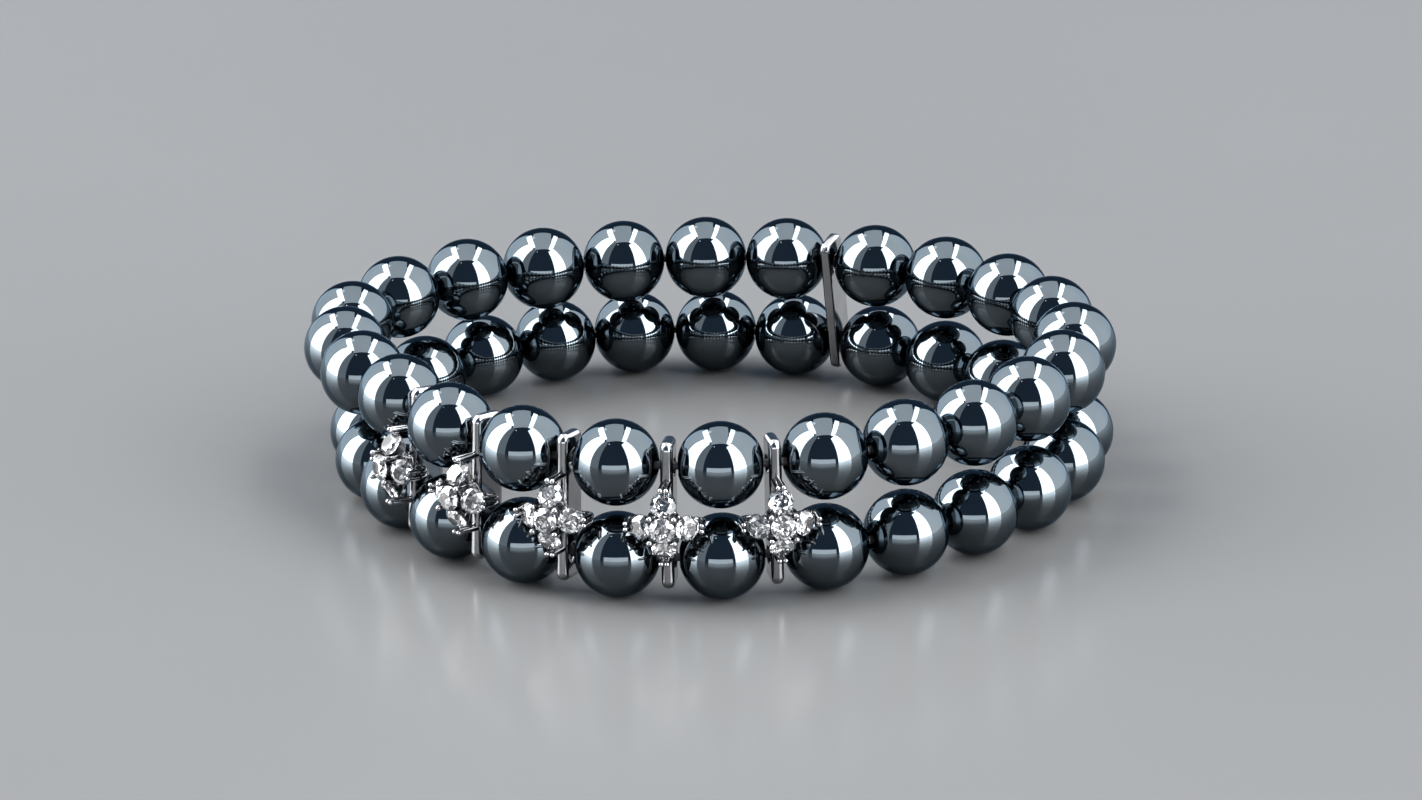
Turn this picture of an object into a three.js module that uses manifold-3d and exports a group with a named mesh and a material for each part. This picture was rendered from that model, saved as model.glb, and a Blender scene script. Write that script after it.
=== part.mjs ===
// A two-row stretch bracelet, lying on its lower row as it does on a table.
// Each row is a closed elastic thread with 24 round beads on it. Six two-hole bars hold the rows
// apart, and the five at the front carry a flower of five round stones each.
// Millimetres, +Z up; the middle flower faces -Y and the plain bar is opposite it.
import * as THREE from 'three';
import { mergeVertices } from 'three/addons/utils/BufferGeometryUtils.js';
import Module from 'manifold-3d';

// ---- Driving dimensions ------------------------------------------------------------------------

const BEAD = { diameter: 8, bore: 1.5, pitch: 8.1, sides: 12, bands: 5 };
const THREAD = { diameter: 0.8, sides: 8 };

// Every bar is a flat plate with round corners and a hole for each thread.
const BAR = { height: 14, depth: 3.4, corner: 0.8, hole: 1.3, holeSpacing: 8.9 };
const FLOWER_BAR = { thickness: 1.2, space: 1.6 }; // space: what it takes of the thread
const PLAIN_BAR = { thickness: 1, space: 1.2 };

// The middle stone's girdle stands off the threads, in front of the beads, and a little below the
// bar's middle. The petals lean back from it, so the five stones make a dome.
const FLOWER = {
  standOff: 4.9,
  sag: 0.3,
  petals: 4,
  petalOffset: 2.25,
  petalDrop: 1.1,
  petalTilt: 36,
};
// The basket flares out of the bar and carries the cups and posts on its rim.
const BASKET = { foot: 1, rim: 1.9, rimDrop: 1.1, intoBar: 0.5, sides: 8 };
// A stone in its cup: radii of the cup's foot, the girdle and the stone's table, the cup's depth
// and the stone's crown above the girdle.
const CUP = { foot: 0.75, girdle: 1.25, table: 0.65, depth: 1.4, crown: 0.5, sides: 8 };
// Two straight claws side by side hold each petal's tip, and are 1.5 times as deep as wide. The
// upper and lower petals' claws are soldered into the bar. A round post stands between two petals.
const CLAW = {
  radius: 0.23,
  stretch: 1.5,
  offset: 3.45,
  top: -1.05,
  foot: -2.6,
  sides: 4,
  pairSpread: 9,
};
const SOLDERED_FOOT = -3.5;
const POST = { radius: 0.3, stretch: 1, offset: 1.55, top: 0.15, foot: -1.4, sides: 6 };

// The loop seen from above: how far each thread runs from the middle of the wrist opening, by
// angle. The upper row bulges out at one side (180 degrees) and falls inwards at the back.
const LOOP = [
  { angle: -90, upper: 30.9, lower: 31.2 },
  { angle: -67.5, upper: 31.3, lower: 31.3 },
  { angle: -45, upper: 31.6, lower: 31.3 },
  { angle: -22.5, upper: 32.6, lower: 32.3 },
  { angle: 0, upper: 33.8, lower: 33.7 },
  { angle: 22.5, upper: 34.8, lower: 34.5 },
  { angle: 45, upper: 33.1, lower: 32.6 },
  { angle: 67.5, upper: 30.5, lower: 31.0 },
  { angle: 90, upper: 29.0, lower: 30.9 },
  { angle: 112.5, upper: 29.1, lower: 31.7 },
  { angle: 135, upper: 30.4, lower: 33.1 },
  { angle: 157.5, upper: 33.2, lower: 34.1 },
  { angle: 180, upper: 36.3, lower: 33.7 },
  { angle: 202.5, upper: 33.8, lower: 32.0 },
  { angle: 225, upper: 30.4, lower: 30.6 },
  { angle: 247.5, upper: 30.3, lower: 30.5 },
];

// What is on the threads, in order from the middle flower, anticlockwise from above.
const ORDER = [
  { bar: 'flower_bar_3', beadsAfter: 1 },
  { bar: 'flower_bar_4', beadsAfter: 1 },
  { bar: 'flower_bar_5', beadsAfter: 10 },
  { bar: 'plain_bar', beadsAfter: 10 },
  { bar: 'flower_bar_1', beadsAfter: 1 },
  { bar: 'flower_bar_2', beadsAfter: 1 },
];

const MATERIALS = {
  bead: new THREE.MeshStandardMaterial({ color: 0x3a4048, roughness: 0.06, metalness: 1 }),
  silver: new THREE.MeshStandardMaterial({ color: 0xd8d9dc, roughness: 0.12, metalness: 1 }),
  thread: new THREE.MeshStandardMaterial({ color: 0x1c1c1e, roughness: 0.6, metalness: 0 }),
};

const UP = new THREE.Vector3(0, 0, 1);
const SAME_VERTEX = 1e-4; // vertices closer than this are one vertex
const LOOP_SAMPLES = 2000; // steps that measure the length along a loop
const LOOP_TENSION = 0.5;
const wasm = await Module();
wasm.setup();

// ---- Joining and cutting -----------------------------------------------------------------------

function toSolid(geometry) {
  const loose = geometry.index ? geometry.toNonIndexed() : geometry;
  const bare = new THREE.BufferGeometry();
  bare.setAttribute('position', loose.getAttribute('position'));
  const merged = mergeVertices(bare, SAME_VERTEX);
  return new wasm.Manifold(
    new wasm.Mesh({
      numProp: 3,
      vertProperties: merged.attributes.position.array,
      triVerts: new Uint32Array(merged.index.array),
    }),
  );
}

function toGeometry(solid) {
  const { vertProperties, triVerts } = solid.getMesh();
  const geometry = new THREE.BufferGeometry();
  geometry.setAttribute('position', new THREE.BufferAttribute(vertProperties, 3));
  geometry.setIndex(new THREE.BufferAttribute(triVerts, 1));
  return geometry;
}

function join(geometries) {
  const solids = geometries.map(toSolid);
  return toGeometry(solids.reduce((whole, piece) => whole.add(piece)));
}

// ---- The loop and the places along it ----------------------------------------------------------

function loopThrough(points) {
  const loop = new THREE.CatmullRomCurve3(points, true, 'catmullrom', LOOP_TENSION);
  loop.arcLengthDivisions = LOOP_SAMPLES;
  return loop;
}

// One row's loop in plan, stretched to exactly the length of what is threaded on it.
function rowLoop(row, length) {
  const points = LOOP.map((station) => {
    const angle = THREE.MathUtils.degToRad(station.angle);
    return new THREE.Vector3(Math.cos(angle), Math.sin(angle), 0).multiplyScalar(station[row]);
  });
  const scale = length / loopThrough(points).getLength();
  return loopThrough(points.map((point) => point.multiplyScalar(scale)));
}

// Everything threaded, each with the length of thread that it takes and where its middle lies.
function threadedPlaces() {
  const places = [];
  let beadNumber = 0;
  for (const { bar, beadsAfter } of ORDER) {
    places.push({ bar, space: bar === 'plain_bar' ? PLAIN_BAR.space : FLOWER_BAR.space });
    for (let i = 0; i < beadsAfter; i += 1) {
      beadNumber += 1;
      places.push({ bead: String(beadNumber).padStart(2, '0'), space: BEAD.pitch });
    }
  }
  let reached = -places[0].space / 2;
  for (const place of places) {
    place.along = reached + place.space / 2;
    reached += place.space;
  }
  return { places, length: reached + places[0].space / 2 };
}

// The middle of each threaded piece on both rows. The lower row rests on its beads, and the bars'
// stiffness keeps the rows one hole spacing apart wherever one leans out over the other.
function rowCentres({ places, length }) {
  const upperLoop = rowLoop('upper', length);
  const lowerLoop = rowLoop('lower', length);
  return places.map(({ along }) => {
    const lower = lowerLoop.getPointAt(along / length);
    const upper = upperLoop.getPointAt(along / length);
    const lean = upper.distanceTo(lower);
    lower.z = BEAD.diameter / 2;
    upper.z = lower.z + Math.sqrt(BAR.holeSpacing ** 2 - lean ** 2);
    return { lower, upper };
  });
}

// The direction of a row at each of its centres, from the neighbours on both sides.
function rowDirections(centres) {
  return centres.map((centre, i) => {
    const before = centres.at(i - 1);
    const after = centres[(i + 1) % centres.length];
    const cameFrom = centre.clone().sub(before).normalize();
    const goesTo = after.clone().sub(centre).normalize();
    return cameFrom.add(goesTo).normalize();
  });
}

// A turned frame: local X along the thread, local Y into the wrist opening, local Z upwards.
function threadFrame(along, up) {
  const inward = up.clone().cross(along).normalize();
  const forward = inward.clone().cross(up).normalize();
  return new THREE.Matrix4().makeBasis(forward, inward, up);
}

function placed(name, geometry, material, centre, frame) {
  const mesh = new THREE.Mesh(geometry, material);
  mesh.name = name;
  mesh.position.copy(centre);
  mesh.quaternion.setFromRotationMatrix(frame);
  return mesh;
}

// ---- Beads and threads -------------------------------------------------------------------------

// A bored ball turned about local X. Its middle band of facets touches the true sphere, so the
// bead rests on a flat facet at its true height.
function beadGeometry() {
  const radius = BEAD.diameter / 2;
  const boreLatitude = Math.acos(BEAD.bore / BEAD.diameter);
  const band = (2 * boreLatitude) / BEAD.bands;
  const facetReach = 1 / Math.cos(Math.PI / BEAD.sides);
  const profile = [];
  for (let i = 0; i <= BEAD.bands; i += 1) {
    const latitude = boreLatitude - i * band;
    const isMiddle = Math.abs(latitude) < band;
    const reach = isMiddle ? radius / Math.cos(band / 2) : radius;
    profile.push(
      new THREE.Vector2(reach * Math.cos(latitude) * facetReach, reach * Math.sin(latitude)),
    );
  }
  profile.push(profile[0].clone());
  profile.reverse();
  return new THREE.LatheGeometry(profile, BEAD.sides, Math.PI / BEAD.sides)
    .rotateZ(-Math.PI / 2);
}

// A thread runs straight through each bore and bends only between two pieces.
class ThreadPath extends THREE.Curve {
  constructor(bends) {
    super();
    this.bends = bends;
  }

  getPoint(t, target = new THREE.Vector3()) {
    const place = t * this.bends.length;
    const from = this.bends[Math.floor(place) % this.bends.length];
    const to = this.bends[(Math.floor(place) + 1) % this.bends.length];
    return target.lerpVectors(from, to, place - Math.floor(place));
  }

  // One tube section to each stretch between two bends.
  getUtoTmapping(u) {
    return u;
  }
}

// Where the bores of neighbouring pieces point at each other.
function threadBends(centres, directions, places) {
  return centres.map((centre, i) => {
    const next = (i + 1) % centres.length;
    const leaving = centre.clone().addScaledVector(directions[i], places[i].space / 2);
    const entering = centres[next].clone();
    entering.addScaledVector(directions[next], -places[next].space / 2);
    return leaving.add(entering).multiplyScalar(0.5);
  });
}

function threadMesh(name, centres, directions, places) {
  const path = new ThreadPath(threadBends(centres, directions, places));
  const geometry = new THREE.TubeGeometry(
    path,
    path.bends.length,
    THREAD.diameter / 2,
    THREAD.sides,
    true,
  );
  const mesh = new THREE.Mesh(geometry, MATERIALS.thread);
  mesh.name = name;
  return mesh;
}

// ---- Bars and flowers --------------------------------------------------------------------------

function roundCorneredShape(width, height, corner) {
  const x = width / 2 - corner;
  const y = height / 2 - corner;
  const quarter = Math.PI / 2;
  const shape = new THREE.Shape();
  shape.absarc(x, -y, corner, -quarter, 0);
  shape.absarc(x, y, corner, 0, quarter);
  shape.absarc(-x, y, corner, quarter, 2 * quarter);
  shape.absarc(-x, -y, corner, 2 * quarter, 3 * quarter);
  shape.closePath();
  return shape;
}

// A round hole drawn as two half circles, each of which gets its own segments.
function holePath(x, y, radius) {
  return new THREE.Path()
    .absarc(x, y, radius, 0, Math.PI)
    .absarc(x, y, radius, Math.PI, 2 * Math.PI);
}

// A plate in the plane of local Y and Z, its thickness along the thread.
function barGeometry(thickness) {
  const shape = roundCorneredShape(BAR.depth, BAR.height, BAR.corner);
  for (const side of [-1, 1]) {
    shape.holes.push(holePath(0, (side * BAR.holeSpacing) / 2, BAR.hole / 2));
  }
  const toThreadFrame = new THREE.Matrix4().makeBasis(
    new THREE.Vector3(0, 1, 0),
    new THREE.Vector3(0, 0, 1),
    new THREE.Vector3(1, 0, 0),
  );
  return new THREE.ExtrudeGeometry(shape, { depth: thickness, bevelEnabled: false, curveSegments: 2 })
    .translate(0, 0, -thickness / 2)
    .applyMatrix4(toThreadFrame);
}

// A tapered cup with its stone, girdle at the origin and table towards +Z.
function cupGeometry() {
  const profile = [
    new THREE.Vector2(0, -CUP.depth),
    new THREE.Vector2(CUP.foot, -CUP.depth),
    new THREE.Vector2(CUP.girdle, 0),
    new THREE.Vector2(CUP.table, CUP.crown),
    new THREE.Vector2(0, CUP.crown),
  ];
  return new THREE.LatheGeometry(profile, CUP.sides).rotateX(Math.PI / 2);
}

// A straight wire parallel to the flower's axis, at an angle from +X about it. Its section is
// stretched away from that axis.
function wireGeometry({ radius, stretch, offset, top, foot, sides }, angle) {
  return new THREE.CylinderGeometry(radius, radius, top - foot, sides)
    .rotateX(Math.PI / 2)
    .scale(stretch, 1, 1)
    .translate(offset, 0, (top + foot) / 2)
    .rotateZ(angle);
}

// A petal: a cup leaning away from the middle stone, with two claws at its tip.
function petalGeometries(turn, claw) {
  const cup = cupGeometry()
    .rotateY(THREE.MathUtils.degToRad(FLOWER.petalTilt))
    .translate(FLOWER.petalOffset, 0, -FLOWER.petalDrop)
    .rotateZ(turn);
  const halfSpread = THREE.MathUtils.degToRad(CLAW.pairSpread / 2);
  const claws = [-halfSpread, halfSpread].map((spread) => wireGeometry(claw, turn + spread));
  return [cup, ...claws];
}

function basketGeometry() {
  const foot = -FLOWER.standOff + BAR.depth / 2 - BASKET.intoBar;
  const height = -BASKET.rimDrop - foot;
  return new THREE.CylinderGeometry(BASKET.rim, BASKET.foot, height, BASKET.sides)
    .rotateX(Math.PI / 2)
    .translate(0, 0, foot + height / 2);
}

// Bar, basket, cups, claws and posts are soldered together, so they are one solid.
function flowerBarGeometry() {
  const turn = (2 * Math.PI) / FLOWER.petals;
  const flower = [basketGeometry(), cupGeometry()];
  for (let i = 0; i < FLOWER.petals; i += 1) {
    const isOverBar = i % 2 === 1;
    const claw = isOverBar ? { ...CLAW, foot: SOLDERED_FOOT } : CLAW;
    flower.push(...petalGeometries(i * turn, claw));
    flower.push(wireGeometry(POST, (i + 0.5) * turn));
  }
  const facingOut = flower.map((piece) =>
    piece.rotateX(Math.PI / 2).translate(0, -FLOWER.standOff, -FLOWER.sag),
  );
  return join([barGeometry(FLOWER_BAR.thickness), ...facingOut]);
}

// ---- The bracelet ------------------------------------------------------------------------------

function barMeshes(places, centres, directions) {
  const flowerBar = flowerBarGeometry();
  const plainBar = barGeometry(PLAIN_BAR.thickness);
  const meshes = [];
  places.forEach(({ bar }, i) => {
    if (!bar) return;
    const { lower, upper } = centres[i];
    const up = upper.clone().sub(lower).normalize();
    const along = directions.lower[i].clone().add(directions.upper[i]).normalize();
    const middle = lower.clone().add(upper).multiplyScalar(0.5);
    const geometry = bar === 'plain_bar' ? plainBar : flowerBar;
    meshes.push(placed(bar, geometry, MATERIALS.silver, middle, threadFrame(along, up)));
  });
  return meshes;
}

function beadMeshes(row, places, centres, directions) {
  const geometry = beadGeometry();
  const meshes = [];
  places.forEach(({ bead }, i) => {
    if (!bead) return;
    const along = directions[i];
    const up = along.clone().cross(UP).cross(along).normalize();
    const name = `${row}_bead_${bead}`;
    meshes.push(placed(name, geometry, MATERIALS.bead, centres[i], threadFrame(along, up)));
  });
  return meshes;
}

// Puts the origin on the surface that it lies on, under the middle of the whole bracelet.
function standOnOrigin(group) {
  const box = new THREE.Box3().setFromObject(group, true);
  const middle = box.getCenter(new THREE.Vector3());
  group.position.set(-middle.x, -middle.y, -box.min.z);
}

function bracelet() {
  const threaded = threadedPlaces();
  const { places } = threaded;
  const centres = rowCentres(threaded);
  const group = new THREE.Group();
  const directions = {};
  for (const row of ['lower', 'upper']) {
    const rowPlaces = centres.map((centre) => centre[row]);
    directions[row] = rowDirections(rowPlaces);
    group.add(...beadMeshes(row, places, rowPlaces, directions[row]));
    group.add(threadMesh(`${row}_thread`, rowPlaces, directions[row], places));
  }
  group.add(...barMeshes(places, centres, directions));
  standOnOrigin(group);
  return group;
}

export default bracelet();
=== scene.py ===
"""Looks of the two-row beaded bracelet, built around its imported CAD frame.

Small shapes are written in millimetres in a frame of their own and made into meshes in metres.
A threaded piece's own frame has X along the thread, Y into the wrist opening and Z upwards.
"""

import math

import bpy
import numpy as np
from mathutils import Matrix, Vector


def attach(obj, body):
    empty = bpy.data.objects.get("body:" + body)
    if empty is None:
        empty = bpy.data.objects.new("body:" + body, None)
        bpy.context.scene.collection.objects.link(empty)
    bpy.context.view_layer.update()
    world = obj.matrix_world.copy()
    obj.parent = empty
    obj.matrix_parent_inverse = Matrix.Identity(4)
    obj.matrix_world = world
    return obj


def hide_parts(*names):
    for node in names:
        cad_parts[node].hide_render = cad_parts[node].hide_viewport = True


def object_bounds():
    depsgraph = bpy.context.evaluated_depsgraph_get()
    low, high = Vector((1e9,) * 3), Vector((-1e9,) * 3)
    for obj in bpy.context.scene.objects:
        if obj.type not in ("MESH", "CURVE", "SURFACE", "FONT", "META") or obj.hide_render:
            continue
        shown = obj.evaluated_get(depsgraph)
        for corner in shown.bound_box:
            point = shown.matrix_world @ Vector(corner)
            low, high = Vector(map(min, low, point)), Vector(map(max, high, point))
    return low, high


MM = 0.001

# ---- Sizes, in millimetres and degrees, as in the part ------------------------------------------

BEAD = {"radius": 4.0, "bore": 0.75, "bore_edge": 0.12}
BAR = {"height": 14.0, "depth": 3.4, "corner": 0.8, "hole": 0.65, "hole_spacing": 8.9}
FLOWER_BAR = {"thickness": 1.2, "edge": 0.54}
PLAIN_BAR = {"thickness": 1.0, "edge": 0.3}
FLOWER = {
    "stand_off": 4.9,
    "sag": 0.3,
    "petals": 4,
    "petal_offset": 2.2,
    "petal_drop": 1.1,
    "petal_tilt": 36,
}
STONE = {
    "radius": 1.21,
    "crown": 0.4,
    "girdle": 0.06,
    "pavilion": 0.84,
    "table_share": 0.6,  # these three are shares of the radius
    "star_share": 0.79,
    "low_share": 0.24,
}
CUP = {"rim": 1.2, "foot": 0.68, "depth": 1.35, "wall": 0.12}
CUP_LIP = {"foot": -0.16, "outside": -0.08, "crest": -0.04, "crest_in": 0.03, "inside": -0.1}
CLAW = {
    "radius": 0.25,
    "offset": 3.52,
    "top": -1.1,
    "bend": -2.5,
    "knee_in": 0.5,
    "knee_drop": 0.65,
    "pair_spread": 9,
}
BAR_FACE = -3.4  # where the bar's front edge is in the flower's frame, with a little overlap
POST = {"radius": 0.2, "head": 0.28, "offset": 1.62, "top": 0.12, "neck": -0.5, "bend": -1.4}
POST_LEAN = 0.05
RINGS = ({"radius": 1.5, "drop": 1.95, "wire": 0.17}, {"radius": 1.0, "drop": 2.8, "wire": 0.24})

# ---- How finely round forms are divided ---------------------------------------------------------

BEAD_STEPS = {"along": 48, "around": 72}
CORNER_STEPS = 8
EDGE_STEPS = 5
HOLE_SIDES = 24
CUP_SIDES = 40
RING_SIDES = 40
RING_WIRE_SIDES = 12
WIRE_SIDES = 12
POST_SIDES = 14
CLAW_STEPS = 4
POST_STEPS = 5
HEAD_STEPS = 4
DOME = (0.0, 0.4, 0.75, 0.95)  # a wire's end is a dome with rings at these shares of its radius

# ---- Materials: the part of a noise texture's range that holds nearly all of it ------------------

NOISE_RANGE = (0.3, 0.7)

# ---- Camera and light ---------------------------------------------------------------------------

CAMERA = {"azimuth": 24.7, "elevation": 19.6, "distance": 0.735, "lens": 195.4, "roll": -1.55}
AIM_FROM_MIDDLE = Vector((1.14, 1.61, -0.73)) * MM
NEAR_CLIP = 0.01
LIGHT_DISTANCE = 1.2
FLOOR_REACH = 8

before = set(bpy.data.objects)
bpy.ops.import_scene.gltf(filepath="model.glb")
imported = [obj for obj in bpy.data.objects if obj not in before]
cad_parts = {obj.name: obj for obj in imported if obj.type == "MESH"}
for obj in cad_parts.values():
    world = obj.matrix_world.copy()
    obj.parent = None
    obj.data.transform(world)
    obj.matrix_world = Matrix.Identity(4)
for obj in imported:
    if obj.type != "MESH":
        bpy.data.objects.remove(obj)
CAD_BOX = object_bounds()


# ---- Shapes -------------------------------------------------------------------------------------


class Shape:
    """Vertices in millimetres and faces, gathered from simple forms."""

    def __init__(self):
        self.points = []
        self.faces = []

    def add(self, points, faces, matrix=Matrix()):
        first = len(self.points)
        self.points += [matrix @ Vector(point) for point in points]
        self.faces += [[first + index for index in face] for face in faces]
        return self

    def join(self, other, matrix=Matrix()):
        return self.add(other.points, other.faces, matrix)

    def mesh(self, name, sharp_angle=35):
        mesh = bpy.data.meshes.new(name)
        mesh.from_pydata([point * MM for point in self.points], [], self.faces)
        mesh.validate()
        mesh.shade_smooth()
        mesh.set_sharp_from_angle(angle=math.radians(sharp_angle))
        return mesh


def faces_between(rings, steps):
    """Faces that join each ring to the next. A ring is its first index and its number of points,
    and a ring of one point is a tip."""
    faces = []
    for (low, low_count), (high, high_count) in zip(rings, rings[1:]):
        for i in range(steps):
            j = (i + 1) % steps
            face = [
                low + i % low_count,
                low + j % low_count,
                high + j % high_count,
                high + i % high_count,
            ]
            faces.append([index for k, index in enumerate(face) if index != face[k - 1]])
    return faces


def turned(profile, steps, closed=False):
    """A profile of (radius, height) turned about Z. A radius of 0 is one point on the axis."""
    shape = Shape()
    rings = []
    for radius, height in profile:
        count = steps if radius > 0 else 1
        first = len(shape.points)
        for i in range(count):
            angle = 2 * math.pi * i / steps
            shape.points.append(Vector((radius * math.cos(angle), radius * math.sin(angle), height)))
        rings.append((first, count))
    if closed:
        rings.append(rings[0])
    shape.faces = faces_between(rings, steps)
    return shape


def smooth_path(corners, steps):
    """A Catmull-Rom path through corner points, with so many steps between two of them."""
    ends = [2 * corners[0] - corners[1], *corners, 2 * corners[-1] - corners[-2]]
    path = []
    for before, start, end, after in zip(ends, ends[1:], ends[2:], ends[3:]):
        for i in range(steps):
            t = i / steps
            path.append(
                0.5
                * (
                    2 * start
                    + (end - before) * t
                    + (2 * before - 5 * start + 4 * end - after) * t * t
                    + (3 * start - before - 3 * end + after) * t**3
                )
            )
    return [*path, corners[-1]]


def wire(path, radii, sides=WIRE_SIDES):
    """A round wire along a path, with a radius at each point and a dome on each end."""
    start_way = (path[0] - path[1]).normalized()
    end_way = (path[-1] - path[-2]).normalized()
    points = []
    thick = []
    for reach in DOME:
        points.append(path[0] + start_way * radii[0] * math.sqrt(1 - reach * reach))
        thick.append(radii[0] * reach)
    points += path
    thick += list(radii)
    for reach in reversed(DOME):
        points.append(path[-1] + end_way * radii[-1] * math.sqrt(1 - reach * reach))
        thick.append(radii[-1] * reach)
    shape = Shape()
    side = start_way.orthogonal().normalized()
    rings = []
    for i, (point, radius) in enumerate(zip(points, thick)):
        way = (points[min(i + 1, len(points) - 1)] - points[max(i - 1, 0)]).normalized()
        side = (side - way * side.dot(way)).normalized()
        other = way.cross(side)
        first = len(shape.points)
        count = sides if radius > 0 else 1
        for k in range(count):
            angle = 2 * math.pi * k / sides
            shape.points.append(point + radius * (side * math.cos(angle) + other * math.sin(angle)))
        rings.append((first, count))
    shape.faces = faces_between(rings, sides)
    return shape


def arc(radius, start, end, steps, middle=(0.0, 0.0)):
    """Points of an arc in a plane, from one angle in degrees to another."""
    angles = [math.radians(start + (end - start) * i / steps) for i in range(steps + 1)]
    return [(middle[0] + radius * math.cos(a), middle[1] + radius * math.sin(a)) for a in angles]


def round_outline(radius, sides, middle=(0.0, 0.0)):
    """The corners of a whole circle, each of them once."""
    return arc(radius, 0, 360 - 360 / sides, sides - 1, middle)


# ---- Where the threaded pieces are --------------------------------------------------------------


def surface_moments(node):
    """The middle of a CAD node's surface, and its principal spreads and directions.

    A triangle's second moment is its area times the sum over its corners plus nine times that of
    its centre, all over twelve. The twelve is left out, because it changes no direction.
    """
    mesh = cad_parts[node].data
    mesh.calc_loop_triangles()
    corners = np.array([[mesh.vertices[i].co for i in t.vertices] for t in mesh.loop_triangles])
    edges = corners[:, 1:] - corners[:, :1]
    areas = np.linalg.norm(np.cross(edges[:, 0], edges[:, 1]), axis=1) / 2
    centres = corners.mean(axis=1)
    middle = (centres * areas[:, None]).sum(axis=0) / areas.sum()
    from_middle = corners - middle
    centres = centres - middle
    spread = np.einsum("t,tki,tkj->ij", areas, from_middle, from_middle)
    spread += 9 * np.einsum("t,ti,tj->ij", areas, centres, centres)
    values, directions = np.linalg.eigh(spread)
    return Vector(middle), values, [Vector(column) for column in directions.T]


def own_frame(along, inward, up, middle):
    matrix = Matrix((along, inward, up)).transposed().to_4x4()
    matrix.translation = middle
    return matrix


def bead_frame(node):
    """A bored ball's bore runs along the one direction whose spread differs from the other two."""
    middle, values, directions = surface_moments(node)
    bore = directions[0] if values[1] - values[0] > values[2] - values[1] else directions[2]
    up = (Vector((0, 0, 1)) - bore * bore.z).normalized()
    return own_frame(bore, up.cross(bore), up, middle)


def bar_frame(node):
    """A bar stands along its greatest spread, and its depth points at the wrist opening."""
    middle, _, directions = surface_moments(node)
    up = directions[2] if directions[2].z > 0 else -directions[2]
    to_opening = (Vector((0, 0, middle.z)) - middle).normalized()
    inward = max(directions[:2], key=lambda way: abs(way.dot(to_opening)))
    inward = inward if inward.dot(to_opening) > 0 else -inward
    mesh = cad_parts[node].data
    inner_face = max((vertex.co - middle).dot(inward) for vertex in mesh.vertices)
    plate_middle = middle + inward * (inner_face - BAR["depth"] / 2 * MM)
    return own_frame(inward.cross(up), inward, up, plate_middle)


# ---- Materials ----------------------------------------------------------------------------------


def new_material(name):
    material = bpy.data.materials.new(name)
    material.use_nodes = True
    return material, material.node_tree, material.node_tree.nodes["Principled BSDF"]


def noise(tree, scale, detail, stretch=None):
    """Noise over the object's own coordinates, in metres, stretched along some of them."""
    coordinates = tree.nodes.new("ShaderNodeTexCoord")
    texture = tree.nodes.new("ShaderNodeTexNoise")
    texture.inputs["Scale"].default_value = scale
    texture.inputs["Detail"].default_value = detail
    source = coordinates.outputs["Object"]
    if stretch:
        mapping = tree.nodes.new("ShaderNodeMapping")
        mapping.inputs["Scale"].default_value = stretch
        tree.links.new(source, mapping.inputs["Vector"])
        source = mapping.outputs["Vector"]
    tree.links.new(source, texture.inputs["Vector"])
    return texture.outputs["Fac"]


def spread_over(tree, factor, low, high):
    """Maps a noise factor to a range of numbers."""
    node = tree.nodes.new("ShaderNodeMapRange")
    node.inputs["From Min"].default_value = NOISE_RANGE[0]
    node.inputs["From Max"].default_value = NOISE_RANGE[1]
    node.inputs["To Min"].default_value = low
    node.inputs["To Max"].default_value = high
    tree.links.new(factor, node.inputs["Value"])
    return node.outputs["Result"]


def colours_over(tree, factor, low, high):
    """Maps a noise factor to the colours between two."""
    ramp = tree.nodes.new("ShaderNodeValToRGB")
    for stop, position, colour in zip(ramp.color_ramp.elements, NOISE_RANGE, (low, high)):
        stop.position, stop.color = position, (*colour, 1)
    tree.links.new(factor, ramp.inputs["Fac"])
    return ramp.outputs["Color"]


def bump(tree, bsdf, height, strength, distance):
    node = tree.nodes.new("ShaderNodeBump")
    node.inputs["Strength"].default_value = strength
    node.inputs["Distance"].default_value = distance
    tree.links.new(height, node.inputs["Height"])
    tree.links.new(node.outputs["Normal"], bsdf.inputs["Normal"])


def bead_material():
    """Dark steel-blue stone with a metallic mirror polish, hardly uneven at all."""
    material, tree, bsdf = new_material("dark_bead")
    bsdf.inputs["Metallic"].default_value = 1
    cloud = noise(tree, 320, 2)
    colour = colours_over(tree, cloud, (0.087, 0.104, 0.116), (0.098, 0.117, 0.131))
    tree.links.new(colour, bsdf.inputs["Base Color"])
    bsdf.inputs["Specular Tint"].default_value = (0.5, 0.56, 0.62, 1)
    haze = noise(tree, 1500, 4)
    tree.links.new(spread_over(tree, haze, 0.025, 0.06), bsdf.inputs["Roughness"])
    return material


def silver_material():
    """Polished silver-coloured plating with fine wear streaks along the bars."""
    material, tree, bsdf = new_material("silver_metal")
    bsdf.inputs["Metallic"].default_value = 1
    cloud = noise(tree, 500, 3)
    colour = colours_over(tree, cloud, (0.28, 0.28, 0.288), (0.34, 0.34, 0.348))
    tree.links.new(colour, bsdf.inputs["Base Color"])
    streaks = noise(tree, 1, 4, stretch=(4000, 4000, 300))
    tree.links.new(spread_over(tree, streaks, 0.07, 0.16), bsdf.inputs["Roughness"])
    bump(tree, bsdf, streaks, 0.06, 0.00002)
    return material


def stone_material():
    """Cut stone that bends light as strongly as cubic zirconia, its grey set for these lights."""
    material, _, bsdf = new_material("clear_stone")
    bsdf.inputs["Base Color"].default_value = (0.3, 0.3, 0.31, 1)
    bsdf.inputs["Transmission Weight"].default_value = 1
    bsdf.inputs["IOR"].default_value = 2.15
    bsdf.inputs["Roughness"].default_value = 0
    return material


def thread_material():
    """Dark elastic cord, a little fibrous."""
    material, tree, bsdf = new_material("elastic_thread")
    fibre = noise(tree, 1, 3, stretch=(1500, 1500, 6000))
    colour = colours_over(tree, fibre, (0.02, 0.02, 0.022), (0.05, 0.05, 0.055))
    tree.links.new(colour, bsdf.inputs["Base Color"])
    bsdf.inputs["Roughness"].default_value = 0.55
    return material


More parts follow.
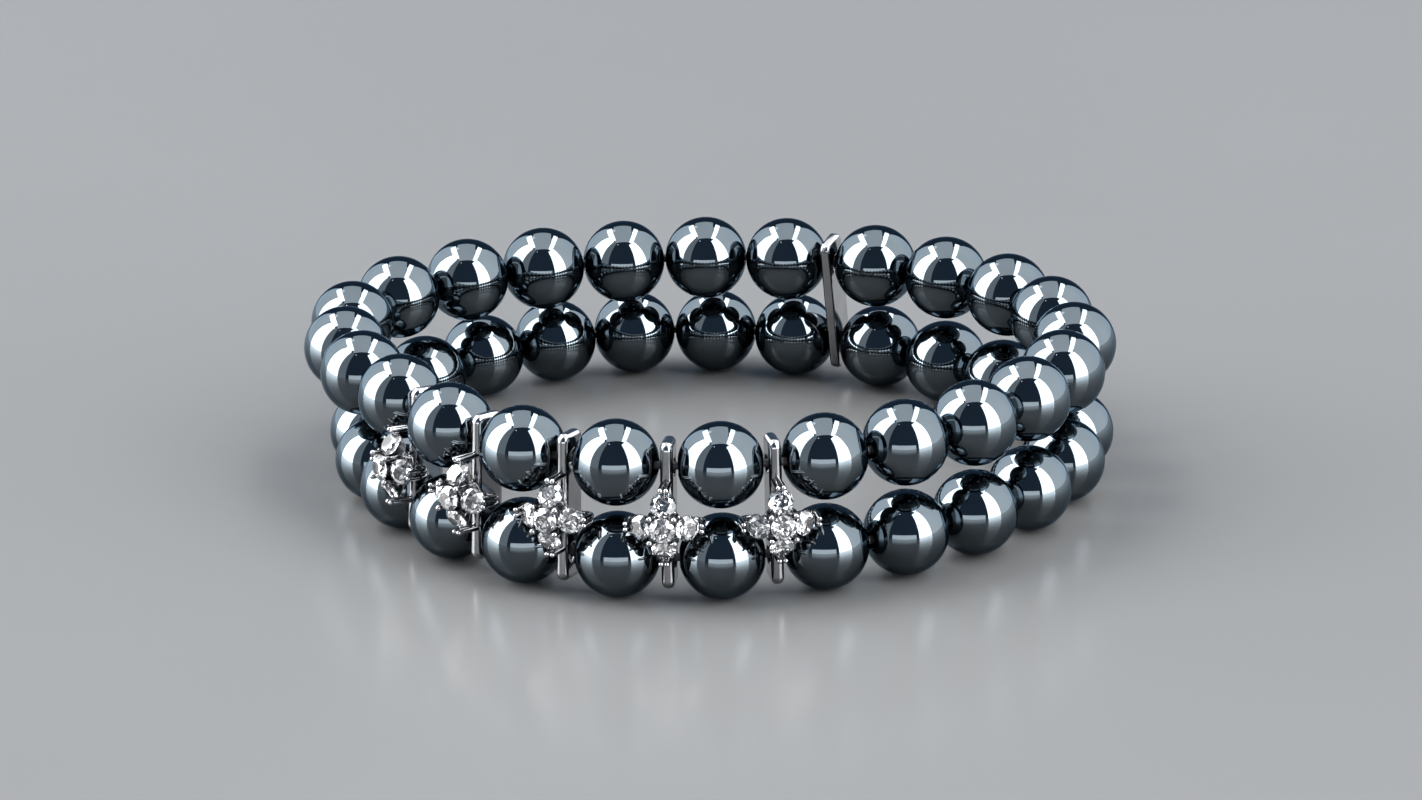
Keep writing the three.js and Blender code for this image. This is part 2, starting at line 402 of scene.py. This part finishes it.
def floor_material():
    """A smooth floor that is pale in these strong lights and mirrors them faintly."""
    material, tree, bsdf = new_material("pale_floor")
    cloud = noise(tree, 6, 4)
    colour = colours_over(tree, cloud, (0.093, 0.094, 0.095), (0.1, 0.101, 0.102))
    tree.links.new(colour, bsdf.inputs["Base Color"])
    bsdf.inputs["Roughness"].default_value = 0.2
    bsdf.inputs["Specular IOR Level"].default_value = 0.15
    return material


# ---- Beads --------------------------------------------------------------------------------------


def bead_mesh():
    """A ball bored along X, with a small rounded edge where the bore comes out."""
    radius, bore, edge = BEAD["radius"], BEAD["bore"], BEAD["bore_edge"]
    reach = math.degrees(math.acos((bore + edge) / radius))
    ball = arc(radius, reach, -reach, BEAD_STEPS["along"])
    mouth = ball[0][1]
    rim = [(bore, mouth - 2 * edge), (bore + 0.3 * edge, mouth - 0.6 * edge)]
    profile = [*rim, *ball, *((r, -height) for r, height in reversed(rim))]
    along_x = Matrix.Rotation(math.radians(90), 4, "Y")
    return Shape().join(turned(profile, BEAD_STEPS["around"], closed=True), along_x).mesh("bead")


def make_beads(material):
    mesh = bead_mesh()
    mesh.materials.append(material)
    for node in sorted(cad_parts):
        if "_bead_" not in node:
            continue
        bead = bpy.data.objects.new("polished_" + node, mesh)
        bead.matrix_world = bead_frame(node)
        bpy.context.scene.collection.objects.link(bead)
        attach(bead, "root")
        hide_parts(node)


# ---- Bars ---------------------------------------------------------------------------------------


def plate(thickness, edge):
    """A bar's plate with rounded edges and two holes, made from a filled and bevelled outline."""
    curve = bpy.data.curves.new("plate", "CURVE")
    curve.dimensions = "2D"
    curve.fill_mode = "BOTH"
    curve.extrude = thickness / 2 - edge
    curve.bevel_depth = edge
    curve.bevel_resolution = EDGE_STEPS
    curve.offset = -edge
    x = BAR["depth"] / 2 - BAR["corner"]
    y = BAR["height"] / 2 - BAR["corner"]
    outline = []
    for turn, corner in enumerate(((x, y), (-x, y), (-x, -y), (x, -y))):
        outline += arc(BAR["corner"], 90 * turn, 90 * turn + 90, CORNER_STEPS, corner)
    spacing = BAR["hole_spacing"] / 2
    holes = [round_outline(BAR["hole"], HOLE_SIDES, (0, side * spacing)) for side in (-1, 1)]
    for points in (outline, *holes):
        spline = curve.splines.new("POLY")
        spline.points.add(len(points) - 1)
        spline.use_cyclic_u = True
        for point, (px, py) in zip(spline.points, points):
            point.co = (px, py, 0, 1)
    drawn = bpy.data.objects.new("plate", curve)
    bpy.context.scene.collection.objects.link(drawn)
    evaluated = drawn.evaluated_get(bpy.context.evaluated_depsgraph_get())
    filled = bpy.data.meshes.new_from_object(evaluated)
    bpy.data.objects.remove(drawn)
    to_own_frame = Matrix(((0, 0, 1, 0), (1, 0, 0, 0), (0, 1, 0, 0), (0, 0, 0, 1)))
    points = [vertex.co for vertex in filled.vertices]
    faces = [list(polygon.vertices) for polygon in filled.polygons]
    return Shape().add(points, faces, to_own_frame)


# ---- Flowers, with Z out of the flower, Y up and the middle stone's girdle at the origin ---------


def brilliant():
    """A round brilliant cut: table, stars, kites, halves, girdle and pavilion."""
    size = STONE["radius"]
    table, star, low = (STONE[key] * size for key in ("table_share", "star_share", "low_share"))
    half_girdle, crown, pavilion = STONE["girdle"] / 2, STONE["crown"], STONE["pavilion"]
    eighth = math.pi / 4
    lean = math.cos(eighth / 2)

    def circle(radius, height, turn, count):
        return [
            Vector((radius * math.cos(a), radius * math.sin(a), height))
            for a in (turn + 2 * math.pi * i / count for i in range(count))
        ]

    star_height = half_girdle + crown * (size - star * lean) / (size - table)
    low_height = -half_girdle - pavilion * (1 - low * lean / size)
    points = circle(table, half_girdle + crown, 0, 8)
    points += circle(star, star_height, eighth / 2, 8)
    points += circle(size, half_girdle, 0, 16)
    points += circle(size, -half_girdle, 0, 16)
    points += circle(low, low_height, eighth / 2, 8)
    points.append(Vector((0, 0, -half_girdle - pavilion)))
    tables, stars, upper, lower, lows, culet = 0, 8, 16, 32, 48, 56
    faces = [[tables + i for i in range(8)]]
    for i in range(8):
        j = (i + 1) % 8
        before = (i - 1) % 8
        here, middle, there = 2 * i, 2 * i + 1, 2 * j
        faces.append([tables + i, stars + i, tables + j][::-1])
        faces.append([tables + i, stars + before, upper + here, stars + i])
        faces.append([stars + i, upper + here, upper + middle])
        faces.append([stars + i, upper + middle, upper + there])
        faces.append([upper + here, lower + here, lower + middle, upper + middle])
        faces.append([upper + middle, lower + middle, lower + there, upper + there])
        faces.append([lows + i, lower + middle, lower + here])
        faces.append([lows + i, lower + there, lower + middle])
        faces.append([culet, lows + i, lower + here, lows + before])
    return Shape().add(points, faces)


def cup():
    """A thin tapered collet that carries the stone just under its girdle."""
    rim, foot, wall, depth = (CUP[key] for key in ("rim", "foot", "wall", "depth"))
    profile = [
        (foot, -depth),
        (rim, CUP_LIP["foot"]),
        (rim, CUP_LIP["outside"]),
        (rim - CUP_LIP["crest_in"], CUP_LIP["crest"]),
        (rim - wall, CUP_LIP["inside"]),
        (foot - wall, -depth),
    ]
    return turned(profile, CUP_SIDES, closed=True)


def petal_place(turn):
    tilt = Matrix.Rotation(math.radians(FLOWER["petal_tilt"]), 4, "Y")
    out = Matrix.Translation((FLOWER["petal_offset"], 0, -FLOWER["petal_drop"]))
    return Matrix.Rotation(turn, 4, "Z") @ out @ tilt


def claw(turn, side, is_over_bar):
    """A claw from beside a petal's tip straight back, then into the bar's front edge where the bar
    is behind it, and otherwise bent in to the lower ring."""
    out, top = CLAW["offset"], CLAW["top"]
    corners = [
        Vector((out, 0, top)),
        Vector((out, 0, (top + CLAW["bend"]) / 2)),
        Vector((out, 0, CLAW["bend"])),
    ]
    if is_over_bar:
        corners.append(Vector((out, 0, BAR_FACE)))
    else:
        corners.append(Vector((out - CLAW["knee_in"], 0, CLAW["bend"] - CLAW["knee_drop"])))
        corners.append(Vector((RINGS[1]["radius"], 0, BAR_FACE)))
    spread = math.radians(CLAW["pair_spread"] / 2 * side)
    place = Matrix.Rotation(turn + spread, 4, "Z")
    path = smooth_path([place @ corner for corner in corners], CLAW_STEPS)
    return wire(path, [CLAW["radius"]] * len(path))


def post(turn):
    """A straight prong with a round head, between two petals and the middle stone."""
    way = Vector((math.cos(turn), math.sin(turn), 0))
    corners = [
        way * POST["offset"] + Vector((0, 0, POST["top"])),
        way * POST["offset"] + Vector((0, 0, POST["neck"])),
        way * (POST["offset"] + POST_LEAN) + Vector((0, 0, POST["bend"])),
        way * RINGS[1]["radius"] + Vector((0, 0, -RINGS[1]["drop"])),
    ]
    path = smooth_path(corners, POST_STEPS)
    head = POST["head"] - POST["radius"]
    thick = [POST["radius"] + head * max(0, 1 - i / HEAD_STEPS) ** 0.5 for i in range(len(path))]
    return wire(path, thick, POST_SIDES)


def ring(radius, wire_radius, drop):
    """A ring of round wire in the basket behind the stones."""
    section = [(radius + x, y - drop) for x, y in round_outline(wire_radius, RING_WIRE_SIDES)]
    return turned(section, RING_SIDES, closed=True)


def flower_places():
    """The middle stone's place and each petal's."""
    turn = 2 * math.pi / FLOWER["petals"]
    return [Matrix(), *(petal_place(turn * i) for i in range(FLOWER["petals"]))]


def flower_metal():
    """The cups, claws, posts and basket rings of one flower, which are soldered together."""
    shape = Shape()
    for place in flower_places():
        shape.join(cup(), place)
    turn = 2 * math.pi / FLOWER["petals"]
    for i in range(FLOWER["petals"]):
        for side in (-1, 1):
            shape.join(claw(turn * i, side, is_over_bar=i % 2 == 1))
        shape.join(post(turn * (i + 0.5)))
    for size in RINGS:
        shape.join(ring(size["radius"], size["wire"], size["drop"]))
    return shape


def facing_out():
    """From the flower's frame to its bar's: out of the flower is away from the wrist."""
    turn = Matrix(((1, 0, 0, 0), (0, 0, -1, 0), (0, 1, 0, 0), (0, 0, 0, 1)))
    return Matrix.Translation((0, -FLOWER["stand_off"], -FLOWER["sag"])) @ turn


def add_piece(name, mesh, material, place):
    mesh.materials.append(material)
    piece = bpy.data.objects.new(name, mesh)
    piece.matrix_world = place
    bpy.context.scene.collection.objects.link(piece)
    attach(piece, "root")
    return piece


def soften(piece):
    """Flat faces keep flat shading beside their rounded edges."""
    weighted = piece.modifiers.new("weighted", "WEIGHTED_NORMAL")
    weighted.keep_sharp = True


def make_bars(silver, stone):
    metal = Shape().join(plate(FLOWER_BAR["thickness"], FLOWER_BAR["edge"]))
    metal.join(flower_metal(), facing_out())
    metal_mesh = metal.mesh("flower_bar")
    stones = Shape()
    for place in flower_places():
        stones.join(brilliant(), facing_out() @ place)
    stones_mesh = stones.mesh("stones", sharp_angle=1)
    plain_mesh = plate(PLAIN_BAR["thickness"], PLAIN_BAR["edge"]).mesh("plain_bar")
    for node in sorted(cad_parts):
        if node.startswith("flower_bar"):
            place = bar_frame(node)
            setting = add_piece("silver_" + node, metal_mesh.copy(), silver, place)
            soften(setting)
            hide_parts(node)
            gems = add_piece("stones_of_" + node, stones_mesh.copy(), stone, place)
            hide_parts(node)
        elif node == "plain_bar":
            bar = add_piece("silver_plain_bar", plain_mesh, silver, bar_frame(node))
            soften(bar)
            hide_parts(node)


# ---- Stage --------------------------------------------------------------------------------------


def beside_camera(right, back, up):
    """A place by its distances from the bracelet as the camera sees it."""
    turn = math.radians(CAMERA["azimuth"])
    to_right = Vector((math.cos(turn), math.sin(turn), 0))
    to_back = Vector((-math.sin(turn), math.cos(turn), 0))
    return right * to_right + back * to_back + Vector((0, 0, up))


def add_camera():
    camera = bpy.data.objects.new("camera", bpy.data.cameras.new("camera"))
    camera.data.lens = CAMERA["lens"]
    camera.data.clip_start = NEAR_CLIP
    rise = math.radians(CAMERA["elevation"])
    distance = CAMERA["distance"]
    offset = beside_camera(0, -distance * math.cos(rise), distance * math.sin(rise))
    aim = (CAD_BOX[0] + CAD_BOX[1]) / 2 + AIM_FROM_MIDDLE
    look = (-offset).to_track_quat("-Z", "Y").to_matrix().to_4x4()
    roll = Matrix.Rotation(math.radians(CAMERA["roll"]), 4, "Z")
    camera.matrix_world = Matrix.Translation(aim + offset) @ look @ roll
    bpy.context.scene.collection.objects.link(camera)
    bpy.context.scene.camera = camera


def add_light(name, middle, along, width, length, radiance):
    """A rectangular area light whose length lies along a direction and which faces the bracelet."""
    light = bpy.data.lights.new(name, "AREA")
    light.shape = "RECTANGLE"
    light.size = width
    light.size_y = length
    light.energy = radiance * math.pi * width * length
    away = (middle - along * middle.dot(along)).normalized()
    panel = bpy.data.objects.new(name, light)
    panel.matrix_world = Matrix((along.cross(away), along, away)).transposed().to_4x4()
    panel.location = middle
    panel.visible_camera = False
    bpy.context.scene.collection.objects.link(panel)


def add_standing_light(name, azimuth, width, top, radiance):
    """A wall of light on the floor, by its middle, width and top in degrees seen from the
    bracelet, the middle counted from the camera round to the right."""
    turn = math.radians(azimuth)
    height = LIGHT_DISTANCE * math.tan(math.radians(top))
    flat = LIGHT_DISTANCE * math.sin(turn), -LIGHT_DISTANCE * math.cos(turn)
    spread = 2 * LIGHT_DISTANCE * math.tan(math.radians(width / 2))
    add_light(name, beside_camera(*flat, height / 2), Vector((0, 0, 1)), spread, height, radiance)


def add_overhead_light(name, start, end, up, width, radiance):
    """A level light overhead, between two places by how far right and back of the bracelet."""
    near, far = beside_camera(*start, up), beside_camera(*end, up)
    along = (far - near).normalized()
    add_light(name, (near + far) / 2, along, width, (far - near).length, radiance)


def add_floor(material):
    reach = FLOOR_REACH
    floor = bpy.data.meshes.new("floor")
    corners = [(-reach, -reach, 0), (reach, -reach, 0), (reach, reach, 0), (-reach, reach, 0)]
    floor.from_pydata(corners, [], [(0, 1, 2, 3)])
    floor.materials.append(material)
    plane = bpy.data.objects.new("floor", floor)
    bpy.context.scene.collection.objects.link(plane)


def add_lights():
    add_standing_light("right_strip", 52, 36, 64, 13)
    add_standing_light("right_wall", 107, 80, 67, 3.1)
    add_standing_light("left_strip", -92, 44, 66, 13)
    add_standing_light("left_wall", -136, 40, 58, 3.1)
    add_standing_light("left_gleam", -58, 24, 66, 0.95)
    add_standing_light("front_card", -5, 63, 11, 3.3)
    add_overhead_light("right_rail", (0.4, -0.3), (0.57, 1.15), 1.13, 0.19, 13)
    add_overhead_light("left_rail", (-0.45, -0.1), (-0.6, 1.2), 1.05, 0.22, 13)
    add_overhead_light("ceiling", (-0.04, -0.3), (-0.04, 1.45), 1.2, 0.8, 2.4)
    add_overhead_light("lamp", (-0.32, -0.48), (-0.32, -0.445), 1.2, 0.035, 17)


def set_world():
    world = bpy.data.worlds.new("dim_room")
    world.use_nodes = True
    world.node_tree.nodes["Background"].inputs["Color"].default_value = (0.094, 0.147, 0.222, 1)
    bpy.context.scene.world = world
    bpy.context.scene.view_settings.view_transform = "Standard"


# ---- The scene ----------------------------------------------------------------------------------

add_camera()
add_floor(floor_material())
add_lights()
set_world()
silver = silver_material()
make_beads(bead_material())
make_bars(silver, stone_material())
thread = thread_material()
for row in ("upper_thread", "lower_thread"):
    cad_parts[row].data.materials.clear()
    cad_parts[row].data.materials.append(thread)
